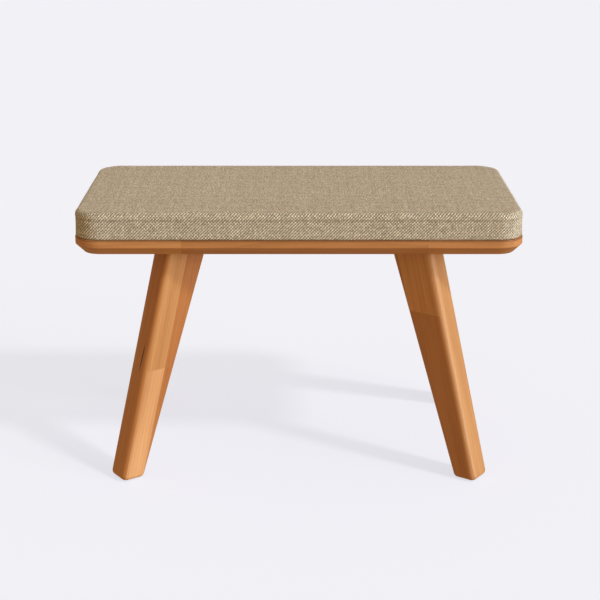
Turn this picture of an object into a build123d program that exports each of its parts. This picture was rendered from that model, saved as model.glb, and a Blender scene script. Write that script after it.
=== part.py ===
from build123d import *
import math
import os

# Padded bench: a wooden board on four splayed legs, with a loose upholstered pad on top.
# Millimetres, +Z up, the front of the bench towards -Y, origin on the floor under its centre.

# ---- driving dimensions ----
bench_width = 680.0
board_depth = 340.0
board_thickness = 24.0
board_corner_radius = 39.0
board_chamfer = 13.0
board_edge_round = 0.8
board_ridge_round = 1.5
board_top_height = 388.0
bench_height = 430.0

# legs: planks set on a diagonal in plan, wider at the top than at the foot
leg_plan_angle = 35.0
leg_thickness = 43.8
leg_foot_width = 40.0
leg_top_width = 72.7
leg_splay = 93.9
leg_edge_round = 9.0
leg_foot_round = 7.0
foot_outer_x = 288.2
foot_outer_y = 172.8

# glides under the feet
glide_radius = 10.5
glide_thickness = 4.0
glide_showing = 1.5
glide_edge_round = 0.6
pin_radius = 1.2
pin_head_radius = 4.0
pin_head_thickness = 1.0
pin_length = 18.0

# leg fixings
bolt_radius = 4.0
bolt_length = 45.0
bolt_head_radius = 7.0
bolt_head_thickness = 4.4
bolt_socket_width = 5.0
bolt_socket_depth = 2.6
bolt_clearance = 0.5
counterbore_radius = 11.0
counterbore_depth = 9.0
flat_washer_radius = 9.5
flat_washer_thickness = 1.6
lock_washer_radius = 7.2
lock_washer_thickness = 2.0
lock_washer_split = 1.2
insert_radius = 6.25
insert_flange_radius = 8.0
insert_flange_thickness = 1.2
insert_length = 20.0
insert_hole_depth = 28.0
dowel_radius = 4.0
dowel_offset = 19.0
dowel_in_leg = 20.0
dowel_in_board = 14.0
dowel_chamfer = 0.8
fixing_shift = -2.0
fit_clearance = 0.05
hole_spare_depth = 1.0

# pad
pad_inset = 1.0
pad_corner_radius = 38.0
fabric_thickness = 1.2
top_panel_drop = 11.6
top_edge_round = 6.5
boxing_inset = 0.5
bottom_edge_round = 4.0
seam_gap = 0.8
thread_radius = 0.35
hem_width = 30.0
pad_underside_gap = 2.4
base_board_thickness = 6.0
base_board_inset = 8.0
base_board_corner_radius = 33.0
wadding_top_thickness = 5.0
layer_clearance = 0.1

# fastenings under the pad
staple_crown = 10.0
staple_wire = 1.2
staple_crown_thickness = 0.4
staple_leg_depth = 5.0
staple_spacing = 60.0
hem_staple_inset = 20.0
dust_cover_inset = 12.0
dust_cover_thickness = 0.4
dust_staple_inset = 16.0
strip_length = 130.0
strip_width = 25.0
strip_corner_radius = 3.0
hook_thickness = 1.0
strip_gap = 0.1
strip_offset_x = 90.0
strip_offset_y = 118.0

# ---- heights worked out from the dimensions above ----
board_bottom = board_top_height - board_thickness
foot_bottom = glide_showing
counterbore_floor = board_top_height - counterbore_depth
pad_bottom = board_top_height + pad_underside_gap
hem_top = pad_bottom + fabric_thickness
base_board_top = hem_top + base_board_thickness
seam_height = bench_height - top_panel_drop
dust_cover_bottom = pad_bottom - staple_crown_thickness - dust_cover_thickness
loop_bottom = board_top_height + hook_thickness + strip_gap

corners = [(-1, -1), (1, -1), (-1, 1), (1, 1)]
leg_names = ["leg_front_left", "leg_front_right", "leg_rear_left", "leg_rear_right"]


def slab(width, depth, radius, low, high):
    """A flat slab with rounded corners, centred over the origin."""
    outline = RectangleRounded(width, depth, radius)
    return extrude(Pos(0, 0, low) * outline, amount=high - low)


def disc(place, radius, low, high):
    """An upright cylinder over a plan position."""
    return extrude(Pos(place[0], place[1], low) * Circle(radius), amount=high - low)


def level_edges(shape, height):
    """The edges of a shape that lie flat at one height."""
    return shape.edges().filter_by_position(Axis.Z, height - 0.01, height + 0.01)


# ---- positions in plan ----
def along_leg(distance, corner):
    """A point on the centre line of a leg, measured inwards from the foot's outer face."""
    angle = math.radians(leg_plan_angle)
    x = foot_outer_x - distance * math.cos(angle)
    y = foot_outer_y - distance * math.sin(angle)
    return (corner[0] * x, corner[1] * y)


foot_centre_distance = leg_foot_width / 2
bolt_distance = leg_splay + leg_top_width / 2 + fixing_shift
bolt_places = [along_leg(bolt_distance, corner) for corner in corners]
glide_places = [along_leg(foot_centre_distance, corner) for corner in corners]


def dowel_places(corner):
    """The two dowels stand on the leg's centre line, either side of its bolt."""
    return [along_leg(bolt_distance + side * dowel_offset, corner) for side in (-1, 1)]


# ---- wooden parts ----
def make_seat_board():
    board = slab(bench_width, board_depth, board_corner_radius, board_bottom, board_top_height)
    board = chamfer(level_edges(board, board_bottom), board_chamfer)
    ridge = level_edges(board, board_bottom + board_chamfer)
    board = fillet(ridge, board_ridge_round)
    board = fillet(level_edges(board, board_bottom), board_ridge_round)
    board = fillet(level_edges(board, board_top_height), board_edge_round)
    for place in bolt_places:
        board -= disc(place, bolt_radius + bolt_clearance, board_bottom, board_top_height)
        board -= disc(place, counterbore_radius, counterbore_floor, board_top_height)
    for corner in corners:
        for place in dowel_places(corner):
            hole_top = board_bottom + dowel_in_board + hole_spare_depth
            board -= disc(place, dowel_radius + fit_clearance, board_bottom, hole_top)
    return board


def make_front_left_leg():
    # the side view of the plank, drawn upright with its outer edge on the left
    side_view = Polyline(
        (0, foot_bottom),
        (leg_foot_width, foot_bottom),
        (leg_splay + leg_top_width, board_bottom),
        (leg_splay, board_bottom),
        close=True,
    )
    face = Plane.XZ * make_face(side_view)
    leg = extrude(face, amount=leg_thickness / 2, both=True)
    long_edges = [edge for edge in leg.edges() if edge.bounding_box().size.Z > board_bottom / 2]
    leg = fillet(long_edges, leg_edge_round)
    leg = fillet(level_edges(leg, foot_bottom), leg_foot_round)
    leg = Pos(-foot_outer_x, -foot_outer_y, 0) * Rot(0, 0, leg_plan_angle) * leg

    corner = corners[0]
    bolt_place = along_leg(bolt_distance, corner)
    insert_floor = board_bottom - insert_length - hole_spare_depth
    hole_floor = board_bottom - insert_hole_depth
    flange_floor = board_bottom - insert_flange_thickness
    leg -= disc(bolt_place, insert_radius + fit_clearance, insert_floor, board_bottom)
    leg -= disc(bolt_place, insert_flange_radius + fit_clearance, flange_floor, board_bottom)
    leg -= disc(bolt_place, bolt_radius + bolt_clearance, hole_floor, board_bottom)
    for place in dowel_places(corner):
        dowel_floor = board_bottom - dowel_in_leg - hole_spare_depth
        leg -= disc(place, dowel_radius + fit_clearance, dowel_floor, board_bottom)

    foot_place = along_leg(foot_centre_distance, corner)
    recess_top = glide_thickness
    leg -= disc(foot_place, glide_radius + fit_clearance, 0, recess_top)
    leg -= disc(foot_place, pin_radius + fit_clearance, 0, recess_top + pin_length)
    return leg


def make_leg(front_left_leg, corner):
    leg = front_left_leg
    if corner[0] > 0:
        leg = mirror(leg, about=Plane.YZ)
    if corner[1] > 0:
        leg = mirror(leg, about=Plane.XZ)
    return leg


def make_leg_dowels():
    dowels = []
    for corner in corners:
        for place in dowel_places(corner):
            low = board_bottom - dowel_in_leg
            high = board_bottom + dowel_in_board
            dowel = disc(place, dowel_radius, low, high)
            ends = level_edges(dowel, low) + level_edges(dowel, high)
            dowels.append(chamfer(ends, dowel_chamfer))
    return dowels


# ---- leg fixings ----
def make_leg_bolts():
    bolts = []
    head_bottom = counterbore_floor + flat_washer_thickness + lock_washer_thickness
    head_top = head_bottom + bolt_head_thickness
    for place in bolt_places:
        head = disc(place, bolt_head_radius, head_bottom, head_top)
        head = fillet(level_edges(head, head_top), bolt_head_thickness / 3)
        shank = disc(place, bolt_radius, head_bottom - bolt_length, head_bottom)
        shank = chamfer(level_edges(shank, head_bottom - bolt_length), bolt_radius / 4)
        socket_sketch = RegularPolygon(bolt_socket_width / 2, 6, major_radius=False)
        socket_place = Pos(place[0], place[1], head_top - bolt_socket_depth)
        socket = extrude(socket_place * socket_sketch, amount=bolt_socket_depth)
        bolts.append(head + shank - socket)
    return bolts


def make_flat_washers():
    washers = []
    for place in bolt_places:
        top = counterbore_floor + flat_washer_thickness
        washer = disc(place, flat_washer_radius, counterbore_floor, top)
        washers.append(washer - disc(place, bolt_radius + bolt_clearance, counterbore_floor, top))
    return washers


def make_lock_washers():
    washers = []
    low = counterbore_floor + flat_washer_thickness
    high = low + lock_washer_thickness
    for place in bolt_places:
        washer = disc(place, lock_washer_radius, low, high)
        washer -= disc(place, bolt_radius + bolt_clearance, low, high)
        split_place = Pos(place[0] + lock_washer_radius, place[1], (low + high) / 2)
        split = Box(2 * lock_washer_radius, lock_washer_split, lock_washer_thickness)
        washers.append(washer - split_place * split)
    return washers


def make_threaded_inserts():
    inserts = []
    for place in bolt_places:
        body = disc(place, insert_radius, board_bottom - insert_length, board_bottom)
        flange_floor = board_bottom - insert_flange_thickness
        flange = disc(place, insert_flange_radius, flange_floor, board_bottom)
        bore = disc(place, bolt_radius + fit_clearance, board_bottom - insert_length, board_bottom)
        inserts.append(body + flange - bore)
    return inserts


# ---- feet ----
def make_foot_glides():
    glides = []
    for place in glide_places:
        glide = disc(place, glide_radius, 0, glide_thickness)
        glide = fillet(level_edges(glide, 0), glide_edge_round)
        head_floor = glide_thickness - pin_head_thickness
        glides.append(glide - disc(place, pin_head_radius, head_floor, glide_thickness))
    return glides


def make_glide_pins():
    pins = []
    for place in glide_places:
        head_floor = glide_thickness - pin_head_thickness
        pin_top = glide_thickness + pin_length - hole_spare_depth
        head = disc(place, pin_head_radius, head_floor, glide_thickness)
        shank = disc(place, pin_radius, head_floor, pin_top)
        shank = chamfer(level_edges(shank, pin_top), pin_radius / 2)
        pins.append(head + shank)
    return pins


# ---- pad ----
def pad_slab(inset, low, high):
    """A slab with the pad's outline, set in from the top panel's outer face."""
    shrink = pad_inset + inset
    width = bench_width - 2 * shrink
    depth = board_depth - 2 * shrink
    return slab(width, depth, pad_corner_radius - inset, low, high)


def make_cover_top_panel():
    outside = pad_slab(0, seam_height, bench_height)
    outside = fillet(level_edges(outside, bench_height), top_edge_round)
    inside = pad_slab(fabric_thickness, seam_height, bench_height - fabric_thickness)
    inside = fillet(level_edges(inside, bench_height - fabric_thickness), top_edge_round - fabric_thickness)
    return outside - inside


def make_cover_boxing():
    boxing_top = seam_height - seam_gap
    outside = pad_slab(boxing_inset, pad_bottom, boxing_top)
    outside = fillet(level_edges(outside, pad_bottom), bottom_edge_round)
    inside = pad_slab(boxing_inset + fabric_thickness, hem_top, boxing_top)
    inside = fillet(level_edges(inside, hem_top), bottom_edge_round - fabric_thickness)
    window = pad_slab(boxing_inset + hem_width, pad_bottom, hem_top)
    return outside - inside - window


def make_seam_thread():
    inset = boxing_inset + fabric_thickness / 2
    width = bench_width - 2 * (pad_inset + inset)
    depth = board_depth - 2 * (pad_inset + inset)
    height = seam_height - seam_gap / 2
    path = Pos(0, 0, height) * RectangleRounded(width, depth, pad_corner_radius - inset)
    rail = path.face().outer_wire()
    section = Plane(origin=rail @ 0, z_dir=rail % 0) * Circle(thread_radius)
    return sweep(section, path=rail)


def make_pad_base_board():
    shrink = pad_inset + base_board_inset
    width = bench_width - 2 * shrink
    depth = board_depth - 2 * shrink
    return slab(width, depth, base_board_corner_radius, hem_top, base_board_top)


def make_foam_block():
    foam_top = bench_height - fabric_thickness - wadding_top_thickness
    shrink = pad_inset + base_board_inset
    width = bench_width - 2 * shrink
    depth = board_depth - 2 * shrink
    return slab(width, depth, base_board_corner_radius, base_board_top, foam_top)


def make_wadding_layer():
    side_inset = boxing_inset + fabric_thickness + layer_clearance
    low = hem_top + bottom_edge_round
    high = bench_height - fabric_thickness - layer_clearance
    wadding = pad_slab(side_inset, low, high)
    wadding = fillet(level_edges(wadding, high), top_edge_round)
    wadding -= make_foam_block()
    return wadding - make_pad_base_board()


# ---- fastenings under the pad ----
def staple_at(place, angle, crown_bottom):
    """A staple driven upwards, its crown flat against the cloth below the plywood."""
    leg_height = staple_leg_depth
    crown_box = Box(staple_crown, staple_wire, staple_crown_thickness)
    staple = Pos(0, 0, staple_crown_thickness / 2) * crown_box
    for side in (-1, 1):
        leg_x = side * (staple_crown - staple_wire) / 2
        leg_z = staple_crown_thickness + leg_height / 2
        staple += Pos(leg_x, 0, leg_z) * Box(staple_wire, staple_wire / 2, leg_height)
    return Pos(place[0], place[1], crown_bottom) * Rot(0, 0, angle) * staple


def staple_ring(inset, crown_bottom):
    """Staples evenly spaced along the four straight sides of the pad."""
    half_width = bench_width / 2 - pad_inset - inset
    half_depth = board_depth / 2 - pad_inset - inset
    run_x = 2 * (half_width - pad_corner_radius)
    run_y = 2 * (half_depth - pad_corner_radius)
    count_x = round(run_x / staple_spacing)
    count_y = round(run_y / staple_spacing)
    staples = []
    for index in range(count_x):
        x = (index + 0.5) * run_x / count_x - run_x / 2
        for side in (-1, 1):
            staples.append(staple_at((x, side * half_depth), 0, crown_bottom))
    for index in range(count_y):
        y = (index + 0.5) * run_y / count_y - run_y / 2
        for side in (-1, 1):
            staples.append(staple_at((side * half_width, y), 90, crown_bottom))
    return staples


def make_cover_staples():
    return staple_ring(hem_staple_inset, pad_bottom - staple_crown_thickness)


def make_dust_cover():
    top = dust_cover_bottom + dust_cover_thickness
    return pad_slab(dust_cover_inset, dust_cover_bottom, top)


def make_dust_cover_staples():
    return staple_ring(dust_staple_inset, dust_cover_bottom - staple_crown_thickness)


def make_strips(low, high):
    strips = []
    for corner in corners:
        strip = slab(strip_length, strip_width, strip_corner_radius, low, high)
        strips.append(Pos(corner[0] * strip_offset_x, corner[1] * strip_offset_y, 0) * strip)
    return strips


def cut_all(shape, tools):
    """Remove the holes that a group of small pieces makes in a larger one."""
    for tool in tools:
        shape -= tool
    return shape


# ---- assembly ----
front_left_leg = make_front_left_leg()
cover_staples = make_cover_staples()
dust_cover_staples = make_dust_cover_staples()
all_staples = cover_staples + dust_cover_staples

parts = {
    "seat_board": make_seat_board(),
    "leg_bolts": make_leg_bolts(),
    "flat_washers": make_flat_washers(),
    "lock_washers": make_lock_washers(),
    "threaded_inserts": make_threaded_inserts(),
    "leg_dowels": make_leg_dowels(),
    "foot_glides": make_foot_glides(),
    "glide_pins": make_glide_pins(),
    "hook_strips": make_strips(board_top_height, board_top_height + hook_thickness),
    "loop_strips": make_strips(loop_bottom, dust_cover_bottom),
    "dust_cover": cut_all(make_dust_cover(), dust_cover_staples),
    "dust_cover_staples": dust_cover_staples,
    "cover_staples": cover_staples,
    "pad_base_board": cut_all(make_pad_base_board(), all_staples),
    "foam_block": make_foam_block(),
    "wadding_layer": make_wadding_layer(),
    "cover_boxing": cut_all(make_cover_boxing(), all_staples),
    "cover_top_panel": make_cover_top_panel(),
    "seam_thread": make_seam_thread(),
}
for name, corner in zip(leg_names, corners):
    parts[name] = make_leg(front_left_leg, corner)

os.makedirs("parts", exist_ok=True)
for name, shape in parts.items():
    if isinstance(shape, list):
        shape = Compound(children=shape)
    export_step(shape, f"parts/{name}.step")
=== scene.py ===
import math

import bmesh
import bpy
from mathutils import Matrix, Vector, noise
from mathutils.bvhtree import BVHTree
from mathutils.interpolate import poly_3d_calc


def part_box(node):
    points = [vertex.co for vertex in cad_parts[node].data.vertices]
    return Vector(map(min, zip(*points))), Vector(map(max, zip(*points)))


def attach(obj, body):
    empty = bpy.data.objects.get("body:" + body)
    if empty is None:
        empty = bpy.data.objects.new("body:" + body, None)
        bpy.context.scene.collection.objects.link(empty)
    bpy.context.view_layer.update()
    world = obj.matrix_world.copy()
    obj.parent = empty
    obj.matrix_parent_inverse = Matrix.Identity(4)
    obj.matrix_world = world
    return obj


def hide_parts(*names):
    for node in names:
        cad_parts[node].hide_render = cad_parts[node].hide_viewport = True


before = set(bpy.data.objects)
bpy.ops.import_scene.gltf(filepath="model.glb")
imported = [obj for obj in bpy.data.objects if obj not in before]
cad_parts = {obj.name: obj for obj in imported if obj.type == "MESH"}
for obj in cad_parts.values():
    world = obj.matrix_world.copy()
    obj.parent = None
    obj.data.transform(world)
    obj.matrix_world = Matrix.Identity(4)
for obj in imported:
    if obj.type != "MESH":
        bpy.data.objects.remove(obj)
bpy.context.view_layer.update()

# A padded bench: oiled wood board and splayed legs, with a boxed fabric pad lying on the board.
# Metres, +Z up, the front of the bench towards -Y.

board_low, board_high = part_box("seat_board")
panel_low, panel_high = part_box("cover_top_panel")
boxing_low, boxing_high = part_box("cover_boxing")

# ---- camera and light ----
# Pitch and softness are in degrees, lens and sensor in millimetres. A light's direction points
# from the bench towards the light, and its softness is how wide it looks from there.
camera_distance = 2.06
camera_height = 0.959
camera_pitch = 17.85
camera_lens = 85.7
sensor_width = 36.0
camera_shift_x = 0.0019
key_direction = Vector((0.62, -0.40, 0.67))
key_strength = 1.2
key_softness = 7.0
soft_key_direction = Vector((0.85, -0.51, 0.20))
soft_key_strength = 1.60
soft_key_softness = 36.0
side_direction = Vector((0.98, -0.19, 0.0))
side_strength = 0.65
side_softness = 20.0
back_direction = Vector((0.0, 1.0, 0.15))
back_strength = 1.1
back_softness = 10.0
fill_colour = (0.48, 0.312, 0.168)
backdrop_colour = (0.888, 0.879, 0.922)
floor_radius = 40.0
floor_glow = (0.602, 0.650, 0.728)
floor_albedo = (0.32, 0.3155, 0.3285)

# ---- pad shape ----
pad_corner_radius = 0.038
pad_edge_radius = 0.0080
pad_bottom_radius = 0.0034
pad_bottom_drop = 0.0019
hem_insets = (0.0305, 0.0265, 0.0225, 0.0185, 0.0145, 0.0118)
fabric_thickness = 0.0010
seam_height = (panel_low.z + boxing_high.z) / 2
grid_step = 0.004
corner_steps = 22
ring_step = 0.0037
pucker_pitch = 0.012
pucker_depth = 0.00025

# ---- stitches; the shape pairs a place along the stitch with a share of its radius ----
stitch_pitch = 0.004
stitch_length = 0.0028
stitch_radius = 0.00035
stitch_inset = 0.0009
stitch_sides = 6
stitch_dip = 1.2
stitch_shape = ((-0.5, 0.25), (-0.4, 0.8), (0.0, 1.0), (0.4, 0.8), (0.5, 0.25))

# ---- the closed form that is inflated as cloth ----
form_inset = 0.0015
form_drop = 0.001
form_edge_radius = 0.004
form_step = 0.012
form_corner_steps = 6
form_voxel = 0.006
form_pressure = 4.0
form_stiffness = 25.0
form_bending = 0.8
form_quality = 6
form_frames = 20
swell_limit = 0.0022
same_place = 1e-6

# ---- legs, as the CAD sets them out ----
leg_plan_angle = math.radians(35.0)
foot_outer = Vector((0.2882, 0.1728))
leg_splay = 0.0939
leg_height = 0.3625


def make_camera():
    data = bpy.data.cameras.new("camera")
    data.sensor_width = sensor_width
    data.lens = camera_lens
    data.shift_x = camera_shift_x
    camera = bpy.data.objects.new("camera", data)
    camera.location = (0, board_low.y - camera_distance, camera_height)
    camera.rotation_euler = (math.radians(90 - camera_pitch), 0, 0)
    bpy.context.scene.collection.objects.link(camera)
    bpy.context.scene.camera = camera


def make_sun(name, direction, strength, softness, shadow=True):
    """A sun that shines from a direction. One without shadow is a fill and leaves no highlight."""
    data = bpy.data.lights.new(name, "SUN")
    data.energy = strength
    data.angle = math.radians(softness)
    data.use_shadow = shadow
    sun = bpy.data.objects.new(name, data)
    sun.visible_glossy = shadow
    sun.rotation_euler = direction.to_track_quat("Z", "Y").to_euler()
    bpy.context.scene.collection.objects.link(sun)


class Graph:
    """A material's nodes, written as nested calls: each call adds one node and returns its output."""

    def __init__(self, name):
        self.material = bpy.data.materials.new(name)
        self.material.use_nodes = True
        self.nodes = self.material.node_tree.nodes
        self.links = self.material.node_tree.links
        self.shader = self.nodes["Principled BSDF"]

    def plug(self, value, socket):
        """Links a socket to another node's output, or sets its value."""
        if isinstance(value, bpy.types.NodeSocket):
            self.links.new(value, socket)
        elif value is not None:
            socket.default_value = value

    def math(self, operation, first, second=None, third=None):
        node = self.nodes.new("ShaderNodeMath")
        node.operation = operation
        for value, socket in zip((first, second, third), node.inputs):
            self.plug(value, socket)
        return node.outputs[0]

    def add(self, first, second):
        return self.math("ADD", first, second)

    def times(self, first, second):
        return self.math("MULTIPLY", first, second)

    def split(self, vector):
        node = self.nodes.new("ShaderNodeSeparateXYZ")
        self.plug(vector, node.inputs[0])
        return node.outputs

    def join(self, x, y, z):
        node = self.nodes.new("ShaderNodeCombineXYZ")
        for value, socket in zip((x, y, z), node.inputs):
            self.plug(value, socket)
        return node.outputs[0]

    def object_position(self):
        return self.nodes.new("ShaderNodeTexCoord").outputs["Object"]

    def weave_position(self):
        node = self.nodes.new("ShaderNodeUVMap")
        node.uv_map = "weave"
        return node.outputs[0]

    def noise(self, vector, scale, detail=2.0, roughness=0.5):
        node = self.nodes.new("ShaderNodeTexNoise")
        self.plug(vector, node.inputs["Vector"])
        node.inputs["Scale"].default_value = scale
        node.inputs["Detail"].default_value = detail
        node.inputs["Roughness"].default_value = roughness
        return node.outputs["Fac"]

    def random(self, value):
        """A random number from 0 to 1 for each whole number."""
        node = self.nodes.new("ShaderNodeTexWhiteNoise")
        node.noise_dimensions = "1D"
        self.plug(value, node.inputs["W"])
        return node.outputs["Value"]

    def cells(self, vector, scale):
        node = self.nodes.new("ShaderNodeTexVoronoi")
        self.plug(vector, node.inputs["Vector"])
        node.inputs["Scale"].default_value = scale
        return node.outputs["Distance"]

    def smooth(self, value, low, high, out_low=0.0, out_high=1.0):
        """Turns smoothly from out_low to out_high as the value goes from low to high."""
        node = self.nodes.new("ShaderNodeMapRange")
        node.interpolation_type = "SMOOTHSTEP"
        for number, socket in zip((value, low, high, out_low, out_high), node.inputs):
            self.plug(number, socket)
        return node.outputs[0]

    def mix(self, share, first, second, blend="MIX"):
        node = self.nodes.new("ShaderNodeMix")
        node.data_type = "RGBA"
        node.blend_type = blend
        self.plug(share, node.inputs["Factor"])
        for value, socket in zip((first, second), (node.inputs[6], node.inputs[7])):
            if isinstance(value, tuple):
                value = (*value, 1.0)
            self.plug(value, socket)
        return node.outputs[2]

    def bump(self, height, distance, strength):
        node = self.nodes.new("ShaderNodeBump")
        node.inputs["Distance"].default_value = distance
        node.inputs["Strength"].default_value = strength
        self.plug(height, node.inputs["Height"])
        return node.outputs[0]

    def surface(self, colour, roughness, normal, **constants):
        """Finishes the material. Constants are set on the shader's own sockets, by their names."""
        self.plug(colour, self.shader.inputs["Base Color"])
        self.plug(roughness, self.shader.inputs["Roughness"])
        self.plug(normal, self.shader.inputs["Normal"])
        for name, value in constants.items():
            self.shader.inputs[name.replace("_", " ")].default_value = value
        return self.material


# ---- wood ----
wood_light = (0.58, 0.302, 0.122)
wood_dark = (0.415, 0.182, 0.062)
glue_colour = (0.20, 0.09, 0.035)
knot_colour = (0.05, 0.018, 0.006)
# the colour of the painted shade just below the board's top edge, where the pad shades it
pad_shadow_colour = (0.12, 0.05, 0.02)
rings_per_metre = 170.0

# ---- board: strips across it, shorter lengths in each strip, and painted shade along its top edge and on its chamfer ----
strips_in_board = 8
strip_piece_length = 0.37
strip_stagger = 0.141
# painted shade: where the dark band below the board's top edge, shaded by the pad, starts and ends
pad_shadow_low_depth = 0.0020
pad_shadow_full_depth = 0.0014
pad_shadow_top_depth = 0.0003
# painted shade: the chamfer and the underside face down, and this tint darkens them
chamfer_shade_top_rise = 0.0133
chamfer_shade_full_rise = 0.0123
chamfer_shade_tint = (0.84, 0.78, 0.72)

# ---- plywood: two plies together ----
ply_pair = 0.003

# ---- legs: how thick the facing is, half the width over which one stave turns into the next,
# and half the width of a glue line ----
leg_face_layer = 0.0045
joint_blur = 0.0003
face_blur = 0.0004
glue_half_width = 0.0005


def grain(graph, along, across, depth, contrast=1.0):
    """Growth rings, long streaks and fine fibres, from metres along, across and down from the pith.

    Returns how dark the grain is and how high it stands.
    """

    def marks(along_scale, across_scale, detail, roughness=0.5):
        place = graph.join(
            graph.times(along, along_scale),
            graph.times(across, across_scale),
            graph.times(depth, across_scale),
        )
        return graph.noise(place, 1.0, detail, roughness)

    wander = graph.times(graph.add(marks(2.4, 9.0, 2.0), -0.5), 0.030)
    radius = graph.math("SQRT", graph.add(
        graph.math("POWER", across, 2.0),
        graph.math("POWER", depth, 2.0),
    ))
    rings = graph.math("FRACT", graph.times(graph.add(radius, wander), rings_per_metre))
    late_wood = graph.math("POWER", rings, 2.5)
    streaks = marks(3.0, 75.0, 4.0, 0.6)
    fibres = marks(28.0, 900.0, 2.0, 0.6)
    darkness = graph.add(
        graph.times(late_wood, 0.30 * contrast),
        graph.add(
            graph.times(graph.smooth(streaks, 0.32, 0.72), 0.55 * contrast),
            graph.times(graph.smooth(fibres, 0.35, 0.75), 0.25 * contrast),
        ),
    )
    return darkness, graph.times(fibres, -1.0)


def oiled_finish(graph, colour, height):
    """Satin oil that leaves the pores open, so the fibres show in the roughness and the bump."""
    normal = graph.bump(height, 0.00012, 0.5)
    roughness = graph.smooth(height, -0.8, -0.2, 0.50, 0.38)
    return graph.surface(colour, roughness, normal, Specular_IOR_Level=0.5)


def board_wood():
    """Edge-glued strips along the board, each strip made of shorter lengths of differing tint.

    A band just below the top edge is darker, painted shade where the pad shades the board, and the
    chamfer and underside are darker, painted shade on faces turned down.
    """
    graph = Graph("oiled_board")
    strip_width = (board_high.y - board_low.y) / strips_in_board
    x, y, z = graph.split(graph.object_position())
    strips = graph.add(graph.times(y, 1 / strip_width), 0.5)
    strip = graph.math("FLOOR", strips)
    lengths = graph.times(graph.add(x, graph.times(strip, strip_stagger)), 1 / strip_piece_length)
    piece = graph.add(graph.times(strip, 19.0), graph.math("FLOOR", lengths))
    first, second = graph.random(piece), graph.random(graph.add(piece, 0.37))
    along = graph.add(x, graph.times(piece, 1.7))
    across = graph.add(y, graph.times(graph.add(first, -0.5), 0.12))
    depth = graph.add(graph.add(z, -board_low.z + 0.03), graph.times(second, 0.06))
    darkness, height = grain(graph, along, across, depth)
    colour = graph.mix(darkness, wood_light, wood_dark)
    tint = graph.mix(first, (0.90, 0.84, 0.76), (1.06, 1.05, 1.04))
    colour = graph.mix(1.0, colour, tint, "MULTIPLY")
    edge = graph.math("ABSOLUTE", graph.add(graph.math("FRACT", strips), -0.5))
    end = graph.math("ABSOLUTE", graph.add(graph.math("FRACT", lengths), -0.5))
    glue = graph.math("MAXIMUM", graph.smooth(edge, 0.495, 0.5), graph.smooth(end, 0.4992, 0.5))
    colour = graph.mix(graph.times(glue, 0.45), colour, glue_colour)
    # Painted shade: a dark band just below the top edge, where the pad shades the board.
    below_top = graph.smooth(z, board_high.z, board_high.z - pad_shadow_top_depth)
    rim = graph.smooth(z, board_high.z - pad_shadow_low_depth, board_high.z - pad_shadow_full_depth)
    colour = graph.mix(graph.times(graph.times(rim, below_top), 0.65), colour, pad_shadow_colour)
    # Painted shade: the chamfer and underside made darker because they face down.
    chamfer = graph.smooth(z, board_low.z + chamfer_shade_top_rise, board_low.z + chamfer_shade_full_rise)
    colour = graph.mix(chamfer, colour, graph.mix(1.0, colour, chamfer_shade_tint, "MULTIPLY"))
    return oiled_finish(graph, colour, height)


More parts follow.
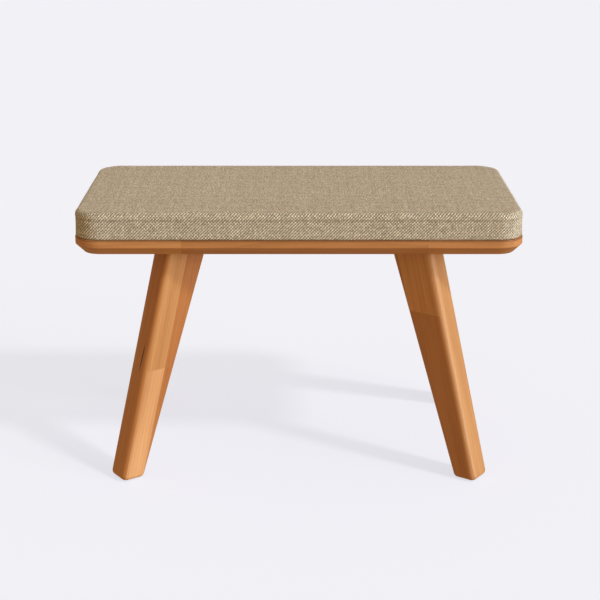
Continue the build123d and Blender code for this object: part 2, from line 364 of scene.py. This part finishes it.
def leg_wood(name, mirror_x, mirror_y, seed, joint_height, wedge_start, face, above, below, band,
             foot=(1, 1, 1), knot=None):
    """A leg glued up from a facing outside, a stave butted at one height, and a wedge inside.

    The mirrors turn each leg into the front left one. Distances are from the foot's outer corner:
    inward along the leg's plan angle, following its splay, and sideways across it. The tints are for
    the facing, the stave above and below its joint, the wedge (band) and the wood near the foot.
    The facing's tint is partly the wood's own tone and partly painted light: darker on a shaded
    outer face, paler on a lit one. The tint near the foot, outside the facing, is painted light
    that makes the wood paler towards the floor.
    """
    graph = Graph(name)
    x, y, z = graph.split(graph.object_position())
    x = graph.add(graph.times(x, mirror_x), foot_outer.x)
    y = graph.add(graph.times(y, mirror_y), foot_outer.y)
    cosine, sine = math.cos(leg_plan_angle), math.sin(leg_plan_angle)
    inward = graph.add(graph.times(x, cosine), graph.times(y, sine))
    inward = graph.add(inward, graph.times(z, -leg_splay / leg_height))
    side = graph.add(graph.times(y, cosine), graph.times(x, -sine))
    in_band = graph.smooth(inward, wedge_start - joint_blur, wedge_start + joint_blur)
    in_face = graph.smooth(inward, leg_face_layer + face_blur, leg_face_layer - face_blur)
    is_low = graph.smooth(z, joint_height + joint_blur, joint_height - joint_blur)
    is_low = graph.times(is_low, graph.math("SUBTRACT", 1.0, in_face))
    offset = graph.add(graph.times(in_band, 3.1), graph.times(is_low, 1.3))
    along = graph.add(graph.add(z, offset), seed)
    across = graph.add(graph.add(inward, 0.035), graph.times(graph.add(in_band, is_low), 0.031))
    depth = graph.add(graph.add(side, 0.055), graph.times(is_low, -0.030))
    darkness, height = grain(graph, along, across, depth)
    colour = graph.mix(darkness, wood_light, wood_dark)
    # The facing's tint is partly its own tone and partly painted light: darker on the left leg's
    # shaded outer face, paler on the right leg's lit one.
    tint = graph.mix(in_face, graph.mix(is_low, above, below), face)
    colour = graph.mix(1.0, colour, graph.mix(in_band, tint, band), "MULTIPLY")
    # Painted light: outside the facing, the wood gets paler towards the foot, where the seat's shade
    # lifts and the floor bounces light.
    painted_foot_light = graph.times(graph.smooth(z, 0.15, 0.01), graph.math("SUBTRACT", 1.0, in_face))
    colour = graph.mix(painted_foot_light, colour, graph.mix(1.0, colour, foot, "MULTIPLY"))
    line = graph.math("ABSOLUTE", graph.add(inward, -wedge_start))
    glue = graph.smooth(line, glue_half_width, 0.0)
    colour = graph.mix(graph.times(glue, 0.25), colour, glue_colour)
    if knot:
        rise = graph.add(z, -knot["height"])
        drift = graph.add(side, graph.add(-knot["side"], graph.times(rise, knot["slant"])))
        reach = graph.add(
            graph.math("POWER", graph.times(drift, 1 / knot["width"]), 2.0),
            graph.math("POWER", graph.times(rise, 1 / knot["length"]), 2.0),
        )
        mark = graph.times(graph.smooth(reach, 1.0, 0.1), graph.smooth(inward, 0.010, 0.004))
        colour = graph.mix(mark, colour, knot_colour)
    return oiled_finish(graph, colour, height)


def plain_wood(name, light, dark):
    """Straight upright grain in one piece of wood."""
    graph = Graph(name)
    x, y, z = graph.split(graph.object_position())
    darkness, height = grain(graph, z, x, y)
    return oiled_finish(graph, graph.mix(darkness, light, dark), height)


def plywood():
    """Face veneer with grain along the pad, and plies that show faintly on the edge."""
    graph = Graph("plywood")
    x, y, z = graph.split(graph.object_position())
    darkness, height = grain(graph, x, y, z, 0.6)
    colour = graph.mix(darkness, (0.72, 0.56, 0.36), (0.55, 0.38, 0.21))
    ply = graph.math("FRACT", graph.times(z, 1 / ply_pair))
    colour = graph.mix(graph.smooth(ply, 0.45, 0.55, 0.0, 0.12), colour, (0.35, 0.22, 0.11))
    return graph.surface(colour, 0.62, graph.bump(height, 0.0002, 0.4))


# ---- fabric ----
yarn_pitch = 0.00120
twill_repeat = 4.0
warp_dark = (0.615, 0.595, 0.497)
warp_pale = (0.815, 0.795, 0.685)
weft_dark = (0.225, 0.205, 0.148)
weft_pale = (0.47, 0.437, 0.34)


def woven_fabric():
    """Two up, two down twill of pale warp and browner weft, no two yarns or floats quite alike.

    Pairs of floats are paler on a diagonal that crosses the twill's own. Where both are strong the
    cloth looks dotted, and elsewhere it looks like plain twill, in patches about 20 mm wide.
    """
    graph = Graph("woven_fabric")
    u, v, _ = graph.split(graph.weave_position())
    wave = graph.times(graph.add(graph.noise(graph.join(u, v, 0.0), 90.0, 2.0), -0.5), 0.0011)
    warps = graph.times(graph.add(u, wave), 1 / yarn_pitch)
    wefts = graph.times(graph.add(v, wave), 1 / yarn_pitch)
    warp, weft = graph.math("FLOOR", warps), graph.math("FLOOR", wefts)
    warp_across, weft_across = graph.math("FRACT", warps), graph.math("FRACT", wefts)
    step = graph.math("FLOORED_MODULO", graph.math("SUBTRACT", weft, warp), twill_repeat)
    step_back = graph.math("FLOORED_MODULO", graph.math("SUBTRACT", warp, weft), twill_repeat)
    warp_up = graph.math("LESS_THAN", step, 1.5)
    warp_run = graph.times(graph.add(step, weft_across), 0.5)
    weft_run = graph.times(graph.add(graph.add(step_back, -1.0), warp_across), 0.5)

    def float_height(across, run):
        """How high a float stands, rounded across the yarn and along its run over two others."""
        width = graph.math("SINE", graph.times(across, math.pi))
        length = graph.math("SINE", graph.times(run, math.pi))
        return graph.math("POWER", graph.math("MAXIMUM", graph.times(width, length), 0.0), 0.5)

    warp_height = graph.times(float_height(warp_across, warp_run), warp_up)
    weft_up = graph.math("SUBTRACT", 1.0, warp_up)
    weft_height = graph.times(float_height(weft_across, weft_run), weft_up)
    height = graph.add(warp_height, weft_height)

    slub_warp = graph.noise(graph.join(graph.times(warp, 7.3), graph.times(v, 60.0), 0.0), 1.0, 2.0)
    slub_weft = graph.noise(graph.join(graph.times(u, 28.0), graph.times(weft, 5.1), 3.0), 1.0, 2.0)
    warp_tone = graph.add(graph.times(graph.random(warp), 0.25), graph.times(slub_warp, 0.75))
    weft_random = graph.random(graph.add(weft, 0.5))
    weft_tone = graph.add(graph.times(weft_random, 0.45), graph.times(slub_weft, 0.55))
    warp_colour = graph.mix(graph.smooth(warp_tone, 0.2, 0.8), warp_dark, warp_pale)
    weft_colour = graph.mix(graph.smooth(weft_tone, 0.2, 0.8), weft_dark, weft_pale)
    colour = graph.mix(warp_up, weft_colour, warp_colour)

    # Every float has a number of its own, and so a shade of its own.
    warp_start = graph.math("SUBTRACT", weft, step)
    weft_start = graph.math("SUBTRACT", warp, step_back)
    warp_number = graph.add(graph.times(warp, 17.0), graph.times(warp_start, 113.0))
    weft_number = graph.add(graph.times(weft_start, 19.0), graph.times(weft, 127.0))
    number = graph.add(graph.times(warp_up, warp_number), graph.times(weft_up, weft_number))
    tone = graph.smooth(graph.random(number), 0.0, 1.0, 0.71, 1.25)
    # Painted shade: the low parts of the weave, between the floats, are darkened.
    shade = graph.times(tone, graph.smooth(height, 0.0, 0.75, 0.42, 1.0))
    crossing = graph.math("FLOORED_MODULO", graph.add(warp, weft), twill_repeat)
    paler_pair = graph.math("LESS_THAN", crossing, 1.5)
    patches = graph.noise(graph.join(u, v, 9.0), 45.0, 2.0)
    deeper = graph.smooth(patches, 0.36, 0.62, 0.93, 0.75)
    paler = graph.smooth(patches, 0.36, 0.62, 1.08, 1.28)
    shade = graph.times(shade, graph.smooth(paler_pair, 0.0, 1.0, deeper, paler))
    mottle = graph.noise(graph.join(u, v, 5.0), 260.0, 3.0, 0.65)
    shade = graph.times(shade, graph.smooth(mottle, 0.25, 0.75, 0.92, 1.09))
    colour = graph.mix(1.0, colour, graph.join(shade, shade, shade), "MULTIPLY")
    normal = graph.bump(height, 0.0004, 0.5)
    return graph.surface(
        colour, 0.9, normal,
        Specular_IOR_Level=0.1, Sheen_Weight=0.08, Sheen_Roughness=0.5,
    )


def soft_cloth(name, low, high, scale, depth):
    """Non-woven or brushed cloth: tangled fibres with a rough, uneven face."""
    graph = Graph(name)
    place = graph.object_position()
    tangle = graph.noise(place, scale, 5.0, 0.7)
    cells = graph.cells(place, scale * 1.7)
    colour = graph.mix(graph.smooth(graph.times(tangle, graph.add(cells, 0.5)), 0.2, 0.6), low, high)
    return graph.surface(colour, 0.93, graph.bump(graph.add(tangle, cells), depth, 0.8))


def twisted_thread():
    """Two-ply sewing thread, paler on the crown of each turn."""
    graph = Graph("sewing_thread")
    x, y, z = graph.split(graph.object_position())
    twist = graph.math("SINE", graph.times(graph.add(graph.add(x, y), graph.times(z, 2.0)), 6000.0))
    # Painted highlight and shade: the colour follows the twist, paler on its crowns and darker in its
    # grooves.
    colour = graph.mix(graph.smooth(twist, -1.0, 1.0), (0.38, 0.34, 0.26), (0.55, 0.50, 0.40))
    return graph.surface(colour, 0.8, graph.bump(twist, 0.0001, 0.5))


# ---- metal and plastic ----
def zinc_steel():
    """Bright zinc plate: faint turning marks and a slightly uneven sheen."""
    graph = Graph("zinc_steel")
    place = graph.object_position()
    cloud = graph.noise(place, 160.0, 3.0)
    marks = graph.noise(graph.times(graph.split(place)[2], 4000.0), 1.0, 1.0)
    colour = graph.mix(cloud, (0.50, 0.52, 0.53), (0.72, 0.72, 0.70))
    roughness = graph.smooth(cloud, 0.3, 0.7, 0.26, 0.42)
    return graph.surface(colour, roughness, graph.bump(marks, 0.00003, 0.3), Metallic=1.0)


def moulded_plastic():
    """Dark nylon with the fine skin of a moulded part."""
    graph = Graph("glide_plastic")
    place = graph.object_position()
    skin = graph.noise(place, 1400.0, 3.0)
    colour = graph.mix(graph.noise(place, 60.0), (0.018, 0.015, 0.013), (0.035, 0.029, 0.025))
    roughness = graph.smooth(skin, 0.3, 0.7, 0.45, 0.6)
    return graph.surface(colour, roughness, graph.bump(skin, 0.00005, 0.5))


def paint(name, material):
    """Gives a CAD node its material."""
    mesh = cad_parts[name].data
    mesh.materials.clear()
    mesh.materials.append(material)


def paint_cad_nodes():
    paint("seat_board", board_wood())
    paint("leg_front_left", leg_wood(
        "oiled_leg_front_left", mirror_x=1, mirror_y=1, seed=0.0,
        joint_height=0.176, wedge_start=0.036,
        # the facing tint here is partly painted shade on the shaded outer face
        face=(0.97, 0.84, 0.70), above=(0.97, 0.98, 0.91), below=(1.12, 1.18, 1.32),
        # the foot tint is painted light, paler on the lit faces towards the floor
        band=(0.81, 0.65, 0.48), foot=(1.14, 1.24, 1.34),
        knot={"height": 0.195, "side": -0.0075, "width": 0.0020, "length": 0.028, "slant": 0.05},
    ))
    paint("leg_front_right", leg_wood(
        "oiled_leg_front_right", mirror_x=-1, mirror_y=1, seed=5.3,
        joint_height=0.262, wedge_start=0.060,
        # the facing tint here is partly painted light on the lit outer face
        face=(1.03, 1.12, 1.26), above=(1.11, 1.10, 1.06), below=(0.90, 0.80, 0.72),
        band=(0.88, 0.80, 0.72),
    ))
    paint("leg_rear_left", leg_wood(
        "oiled_leg_rear_left", mirror_x=1, mirror_y=-1, seed=9.1,
        joint_height=0.215, wedge_start=0.041,
        face=(1.0, 1.0, 0.98), above=(1.02, 1.0, 0.98), below=(0.95, 0.90, 0.86),
        band=(1.02, 1.03, 1.02),
    ))
    paint("leg_rear_right", leg_wood(
        "oiled_leg_rear_right", mirror_x=-1, mirror_y=-1, seed=13.7,
        joint_height=0.150, wedge_start=0.036,
        face=(0.98, 0.95, 0.92), above=(0.96, 0.92, 0.88), below=(1.03, 1.02, 1.0),
        band=(0.90, 0.80, 0.72),
    ))
    paint("leg_dowels", plain_wood("dowel_wood", (0.70, 0.52, 0.32), (0.52, 0.35, 0.19)))
    paint("pad_base_board", plywood())
    # Node, material, darker and paler colour, fibres in a metre, and how deep the tangle is.
    cloths = (
        ("foam_block", "foam", (0.62, 0.56, 0.38), (0.80, 0.76, 0.58), 900.0, 0.0005),
        ("wadding_layer", "wadding", (0.70, 0.70, 0.68), (0.88, 0.88, 0.87), 260.0, 0.0012),
        ("dust_cover", "dust_cloth", (0.010, 0.010, 0.010), (0.035, 0.034, 0.033), 700.0, 0.0003),
        ("hook_strips", "hook_tape", (0.008, 0.008, 0.008), (0.06, 0.06, 0.06), 1500.0, 0.0006),
        ("loop_strips", "loop_tape", (0.012, 0.012, 0.012), (0.05, 0.05, 0.052), 1100.0, 0.0006),
    )
    for node, name, darker, paler, fibres, depth in cloths:
        paint(node, soft_cloth(name, darker, paler, fibres, depth))
    paint("foot_glides", moulded_plastic())
    steel = zinc_steel()
    for name in ("leg_bolts", "flat_washers", "lock_washers", "threaded_inserts", "glide_pins",
                 "cover_staples", "dust_cover_staples"):
        paint(name, steel)


# ---- pad ----
class Outline:
    """The pad's rounded rectangle, sampled once; a point at any inset is a step along its normal."""

    def __init__(self, half_x, half_y, radius, step, steps):
        self.radius = radius
        self.inner_x, self.inner_y = half_x - radius, half_y - radius
        self.count_x = round(2 * self.inner_x / step)
        self.count_y = round(2 * self.inner_y / step)
        self.centres, self.normals, self.grid_places = [], [], []
        nx, ny = self.count_x, self.count_y
        sides = (
            ((0, 0), (1, 0), nx, -90),
            ((nx, 0), (0, 1), ny, 0),
            ((nx, ny), (-1, 0), nx, 90),
            ((0, ny), (0, -1), ny, 180),
        )
        for start, way, count, angle in sides:
            for index in range(count):
                self.sample(start[0] + way[0] * index, start[1] + way[1] * index, angle)
            corner = (start[0] + way[0] * count, start[1] + way[1] * count)
            for index in range(steps):
                self.sample(*corner, angle + 90 * index / steps)
        points = [self.place(index, 0.0) for index in range(len(self.centres))]
        self.lengths = [0.0]
        for index, point in enumerate(points):
            following = points[(index + 1) % len(points)]
            self.lengths.append(self.lengths[-1] + (following - point).length)

    def sample(self, column, row, angle):
        self.grid_places.append((column, row))
        self.centres.append(self.grid_point(column, row))
        angle = math.radians(angle)
        self.normals.append(Vector((math.cos(angle), math.sin(angle))))

    def grid_point(self, column, row):
        x = (2 * column / self.count_x - 1) * self.inner_x
        y = (2 * row / self.count_y - 1) * self.inner_y
        return Vector((x, y))

    def place(self, index, inset):
        return self.centres[index] + self.normals[index] * (self.radius - inset)


def arc(inset, height, radius, start, end, steps):
    """Profile points on an arc about (inset, height); 0 degrees points outwards and 90 up."""
    points = []
    for index in range(steps + 1):
        angle = math.radians(start + (end - start) * index / steps)
        points.append((inset - radius * math.cos(angle), height + radius * math.sin(angle)))
    return points


def steps_between(low, high, step):
    count = max(1, round(abs(high - low) / step))
    return [low + (high - low) * index / count for index in range(1, count + 1)]


def build_sheet(name, outline, profile, flat_from, top=False, field=None, detail=None):
    """A sheet that follows a profile of (inset, height) round the outline; top closes its middle.

    Faces from row flat_from on take their weave from x and y, and the others from the way round and
    the height. The detail moves a profile point by its place and row, and the field by its position.
    """
    count = len(outline.centres)
    points, rows = [], []
    for inset, height in profile:
        rows.append(list(range(len(points), len(points) + count)))
        for index in range(count):
            flat = outline.place(index, inset)
            points.append(Vector((flat.x, flat.y, height)))
    if top:
        grid = {}
        for column in range(outline.count_x + 1):
            for row in range(outline.count_y + 1):
                grid[column, row] = len(points)
                flat = outline.grid_point(column, row)
                points.append(Vector((flat.x, flat.y, profile[-1][1])))
        rows.append([grid[place] for place in outline.grid_places])
    faces, maps = [], []

    def strip_uv(index, row):
        return (outline.lengths[index], profile[row][1])

    for row in range(len(rows) - 1):
        for index in range(count):
            following = (index + 1) % count
            lower, upper = rows[row], rows[row + 1]
            corners = [lower[index], lower[following], upper[following], upper[index]]
            if row < flat_from:
                uvs = [strip_uv(index, row), strip_uv(index + 1, row),
                       strip_uv(index + 1, row + 1), strip_uv(index, row + 1)]
            else:
                uvs = [points[corner].xy for corner in corners]
            if corners[2] == corners[3]:
                corners, uvs = corners[:3], uvs[:3]
            faces.append(corners)
            maps.append(uvs)
    if top:
        for column in range(outline.count_x):
            for row in range(outline.count_y):
                places = ((column, row), (column + 1, row), (column + 1, row + 1), (column, row + 1))
                corners = [grid[place] for place in places]
                faces.append(corners)
                maps.append([points[corner].xy for corner in corners])
    if detail:
        for row, members in enumerate(rows[:len(profile)]):
            for index in range(count):
                points[members[index]] += detail(outline, index, row)
    if field:
        points = [point + field(point) for point in points]
    mesh = bpy.data.meshes.new(name)
    mesh.from_pydata([tuple(point) for point in points], [], faces)
    layer = mesh.uv_layers.new(name="weave")
    flat_maps = [uv for face in maps for uv in face]
    for loop, uv in zip(layer.data, flat_maps):
        loop.uv = uv
    mesh.shade_smooth()
    mesh.update()
    piece = bpy.data.objects.new(name, mesh)
    bpy.context.scene.collection.objects.link(piece)
    return piece


def swelling():
    """Inflates a closed form of the pad as cloth; returns a function from a point to its movement.

    The part of the form below the base board's top is held still.
    """
    outline = Outline(
        panel_high.x - form_inset, panel_high.y - form_inset,
        pad_corner_radius, form_step, form_corner_steps,
    )
    edge = form_edge_radius
    low, high = boxing_low.z, panel_high.z - form_drop
    profile = [(outline.radius, low)]
    profile += arc(edge, low + edge, edge, -90, 0, 3)
    profile += arc(edge, high - edge, edge, 0, 90, 3)
    form = build_sheet("pad_form", outline, profile, 0, top=True)
    body = bmesh.new()
    body.from_mesh(form.data)
    lowest = [vert for vert in body.verts if vert.co.z < low + same_place]
    bmesh.ops.remove_doubles(body, verts=lowest, dist=same_place)
    rim = [line for line in body.edges if line.is_boundary]
    bmesh.ops.contextual_create(body, geom=rim)
    body.to_mesh(form.data)
    body.free()
    remesh = form.modifiers.new("remesh", "REMESH")
    remesh.mode = "VOXEL"
    remesh.voxel_size = form_voxel
    apply_modifiers(form)
    rest = [vertex.co.copy() for vertex in form.data.vertices]
    held = form.vertex_groups.new(name="held")
    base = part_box("pad_base_board")[1].z
    held.add([index for index, point in enumerate(rest) if point.z < base], 1.0, "REPLACE")
    cloth = form.modifiers.new("cloth", "CLOTH")
    cloth.settings.use_pressure = True
    cloth.settings.uniform_pressure_force = form_pressure
    cloth.settings.effector_weights.gravity = 0.0
    cloth.settings.vertex_group_mass = "held"
    cloth.settings.tension_stiffness = form_stiffness
    cloth.settings.compression_stiffness = form_stiffness
    cloth.settings.bending_stiffness = form_bending
    cloth.settings.quality = form_quality
    cloth.point_cache.frame_start = 1
    cloth.point_cache.frame_end = form_frames
    for number in range(1, form_frames + 1):
        bpy.context.scene.frame_set(number)
    apply_modifiers(form)
    bpy.context.scene.frame_set(1)
    moves = [vertex.co - point for vertex, point in zip(form.data.vertices, rest)]
    furthest = max(move.length for move in moves)
    moves = [move * (swell_limit / furthest) for move in moves]
    polygons = [list(polygon.vertices) for polygon in form.data.polygons]
    tree = BVHTree.FromPolygons(rest, polygons)
    bpy.data.objects.remove(form)

    def field(point):
        """The form's movement at its nearest place, blended over the face there."""
        nearest, _, index, _ = tree.find_nearest(point)
        corners = polygons[index]
        weights = poly_3d_calc([rest[corner] for corner in corners], nearest)
        move = Vector((0, 0, 0))
        for weight, corner in zip(weights, corners):
            move += moves[corner] * weight
        return move

    return field


def apply_modifiers(piece):
    """Replaces a piece's mesh with what its modifiers make of it."""
    graph = bpy.context.evaluated_depsgraph_get()
    made = bpy.data.meshes.new_from_object(piece.evaluated_get(graph))
    piece.modifiers.clear()
    piece.data = made


def puckers(rows):
    """Small gathers where the stitches draw the cloth in, with a share of the depth for each row."""

    def detail(outline, index, row):
        share = rows.get(row, 0.0)
        if not share:
            return Vector((0, 0, 0))
        way = outline.lengths[index]
        wander = noise.noise(Vector((way * 30, 0.0, 2.0)))
        wave = math.sin(way * 2 * math.pi / pucker_pitch + 2.5 * wander)
        depth = share * pucker_depth * (wave + wander)
        normal = outline.normals[index]
        return Vector((normal.x * depth, normal.y * depth, depth * 0.4))

    return detail


def thicken(piece):
    """Gives the sheet its thickness, on the inside."""
    solid = piece.modifiers.new("thickness", "SOLIDIFY")
    solid.thickness = fabric_thickness
    solid.offset = -1.0
    solid.use_even_offset = True


def make_top_panel(outline, field, material):
    """The pad's top with its rolled edge, from its seam allowance inside the seam up and over."""
    top = panel_high.z
    seam = seam_height
    edge = pad_edge_radius
    profile = [
        (0.0055, seam + 0.0010),
        (0.0030, seam + 0.0001),
        (0.0014, seam + 0.0001),
        (0.0008, seam + 0.0002),
        (0.0004, seam + 0.0005),
        (0.0002, seam + 0.0012),
        (0.0000, seam + 0.0028),
    ]
    profile += arc(edge, top - edge, edge, 0, 90, 8)
    flat_from = len(profile) - 4
    profile += [(inset, top) for inset in steps_between(edge, outline.radius, ring_step)[:-1]]
    gathers = puckers({2: 0.5, 3: 1.0, 4: 1.0, 5: 0.6, 6: 0.3})
    piece = build_sheet("pad_top_panel", outline, profile, flat_from, True, field, gathers)
    piece.data.materials.append(material)
    thicken(piece)
    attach(piece, "pad")
    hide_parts("cover_top_panel")


def make_boxing(outline, field, material):
    """The band round the pad: hem under the base board, rolled edge, side and seam allowance."""
    low = boxing_low.z
    seam = seam_height
    roll = pad_bottom_radius
    profile = [(inset, low) for inset in hem_insets]
    low -= pad_bottom_drop
    profile += [(0.0098, low + 0.0010), (0.0080, low + 0.0003), (0.0058, low)]
    profile += arc(roll, low + roll, roll, -90, 0, 7)
    profile += [(0.0001, low + 0.0056), (0.0002, low + 0.0080)]
    profile += [(0.0004, low + 0.0105 + 0.0030 * step) for step in range(5)]
    profile += [
        (0.0003, seam - 0.0034),
        (0.0003, seam - 0.0018),
        (0.0004, seam - 0.0009),
        (0.0007, seam - 0.0003),
        (0.0014, seam - 0.0001),
        (0.0030, seam - 0.0001),
        (0.0055, seam - 0.0010),
    ]
    last = len(profile) - 1
    gathers = puckers({last - 1: 0.5, last - 2: 1.0, last - 3: 1.0, last - 4: 0.7, last - 5: 0.4})
    piece = build_sheet("pad_boxing", outline, profile, len(profile), False, field, gathers)
    piece.data.materials.append(material)
    thicken(piece)
    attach(piece, "pad")
    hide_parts("cover_boxing")


def make_seam_stitches(outline, material):
    """A row of short thread stitches lying in the groove between the top panel and the boxing."""
    total = outline.lengths[-1]
    count = round(total / stitch_pitch)
    body = bmesh.new()
    index = 0
    for number in range(count):
        way = number * total / count
        while outline.lengths[index + 1] < way:
            index += 1
        share = (way - outline.lengths[index]) / (outline.lengths[index + 1] - outline.lengths[index])
        here = outline.place(index, stitch_inset)
        following = outline.place((index + 1) % len(outline.centres), stitch_inset)
        place = here.lerp(following, share)
        heading = (following - here).normalized()
        outwards = Vector((heading.y, -heading.x))
        rings = []
        for along, size in stitch_shape:
            ring = []
            for turn in range(stitch_sides):
                angle = math.radians(360 / stitch_sides * turn)
                radius = stitch_radius * size
                out = outwards * radius * math.cos(angle)
                dip = (along * 2) ** 2 * stitch_radius * stitch_dip
                flat = place + heading * along * stitch_length + out - outwards * dip
                ring.append(body.verts.new((flat.x, flat.y, seam_height + radius * math.sin(angle))))
            rings.append(ring)
        for low, high in zip(rings, rings[1:]):
            for turn in range(stitch_sides):
                after = (turn + 1) % stitch_sides
                body.faces.new((low[turn], low[after], high[after], high[turn]))
        body.faces.new(list(reversed(rings[0])))
        body.faces.new(rings[-1])
    bmesh.ops.recalc_face_normals(body, faces=body.faces)
    mesh = bpy.data.meshes.new("seam_stitches")
    body.to_mesh(mesh)
    body.free()
    mesh.shade_smooth()
    piece = bpy.data.objects.new("seam_stitches", mesh)
    bpy.context.scene.collection.objects.link(piece)
    mesh.materials.append(material)
    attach(piece, "pad")
    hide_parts("seam_thread")


# ---- floor and backdrop ----
def make_floor():
    """A wide pale floor that also glows, so that shadows on it stay light; clear from below."""
    bpy.ops.mesh.primitive_circle_add(vertices=96, radius=floor_radius, fill_type="NGON")
    floor = bpy.context.object
    floor.name = "floor"
    material = bpy.data.materials.new("studio_floor")
    material.use_nodes = True
    nodes, links = material.node_tree.nodes, material.node_tree.links
    nodes.clear()
    diffuse = nodes.new("ShaderNodeBsdfDiffuse")
    diffuse.inputs["Color"].default_value = (*floor_albedo, 1.0)
    glow = nodes.new("ShaderNodeEmission")
    glow.inputs["Color"].default_value = (*floor_glow, 1.0)
    both = nodes.new("ShaderNodeAddShader")
    clear = nodes.new("ShaderNodeBsdfTransparent")
    side = nodes.new("ShaderNodeNewGeometry")
    pick = nodes.new("ShaderNodeMixShader")
    out = nodes.new("ShaderNodeOutputMaterial")
    links.new(diffuse.outputs[0], both.inputs[0])
    links.new(glow.outputs[0], both.inputs[1])
    links.new(side.outputs["Backfacing"], pick.inputs[0])
    links.new(both.outputs[0], pick.inputs[1])
    links.new(clear.outputs[0], pick.inputs[2])
    links.new(pick.outputs[0], out.inputs["Surface"])
    floor.data.materials.append(material)
    floor.visible_diffuse = False
    floor.visible_glossy = False


def make_world():
    """Dim warm fill light, and the pale backdrop where the camera looks past the floor."""
    world = bpy.data.worlds.new("studio")
    world.use_nodes = True
    nodes, links = world.node_tree.nodes, world.node_tree.links
    nodes.clear()
    fill = nodes.new("ShaderNodeBackground")
    fill.inputs["Color"].default_value = (*fill_colour, 1.0)
    backdrop = nodes.new("ShaderNodeBackground")
    backdrop.inputs["Color"].default_value = (*backdrop_colour, 1.0)
    path = nodes.new("ShaderNodeLightPath")
    pick = nodes.new("ShaderNodeMixShader")
    out = nodes.new("ShaderNodeOutputWorld")
    links.new(path.outputs["Is Camera Ray"], pick.inputs[0])
    links.new(fill.outputs[0], pick.inputs[1])
    links.new(backdrop.outputs[0], pick.inputs[2])
    links.new(pick.outputs[0], out.inputs["Surface"])
    bpy.context.scene.world = world


def make_studio():
    """Camera, lights, floor and backdrop.

    A narrow and a wide light from the right make the shadows. The fills cast none.
    """
    make_camera()
    make_sun("key", key_direction, key_strength, key_softness)
    make_sun("soft_key", soft_key_direction, soft_key_strength, soft_key_softness)
    make_sun("side_fill", side_direction, side_strength, side_softness, shadow=False)
    make_sun("back_fill", back_direction, back_strength, back_softness, shadow=False)
    make_floor()
    make_world()
    bpy.context.scene.view_settings.view_transform = "Standard"


def make_pad():
    """The pad's cover, which follows the inflated form, and its stitches, which lie in the seam."""
    outline = Outline(panel_high.x, panel_high.y, pad_corner_radius, grid_step, corner_steps)
    field = swelling()
    fabric = woven_fabric()
    make_top_panel(outline, field, fabric)
    make_boxing(outline, field, fabric)
    make_seam_stitches(outline, twisted_thread())


make_studio()
paint_cad_nodes()
make_pad()
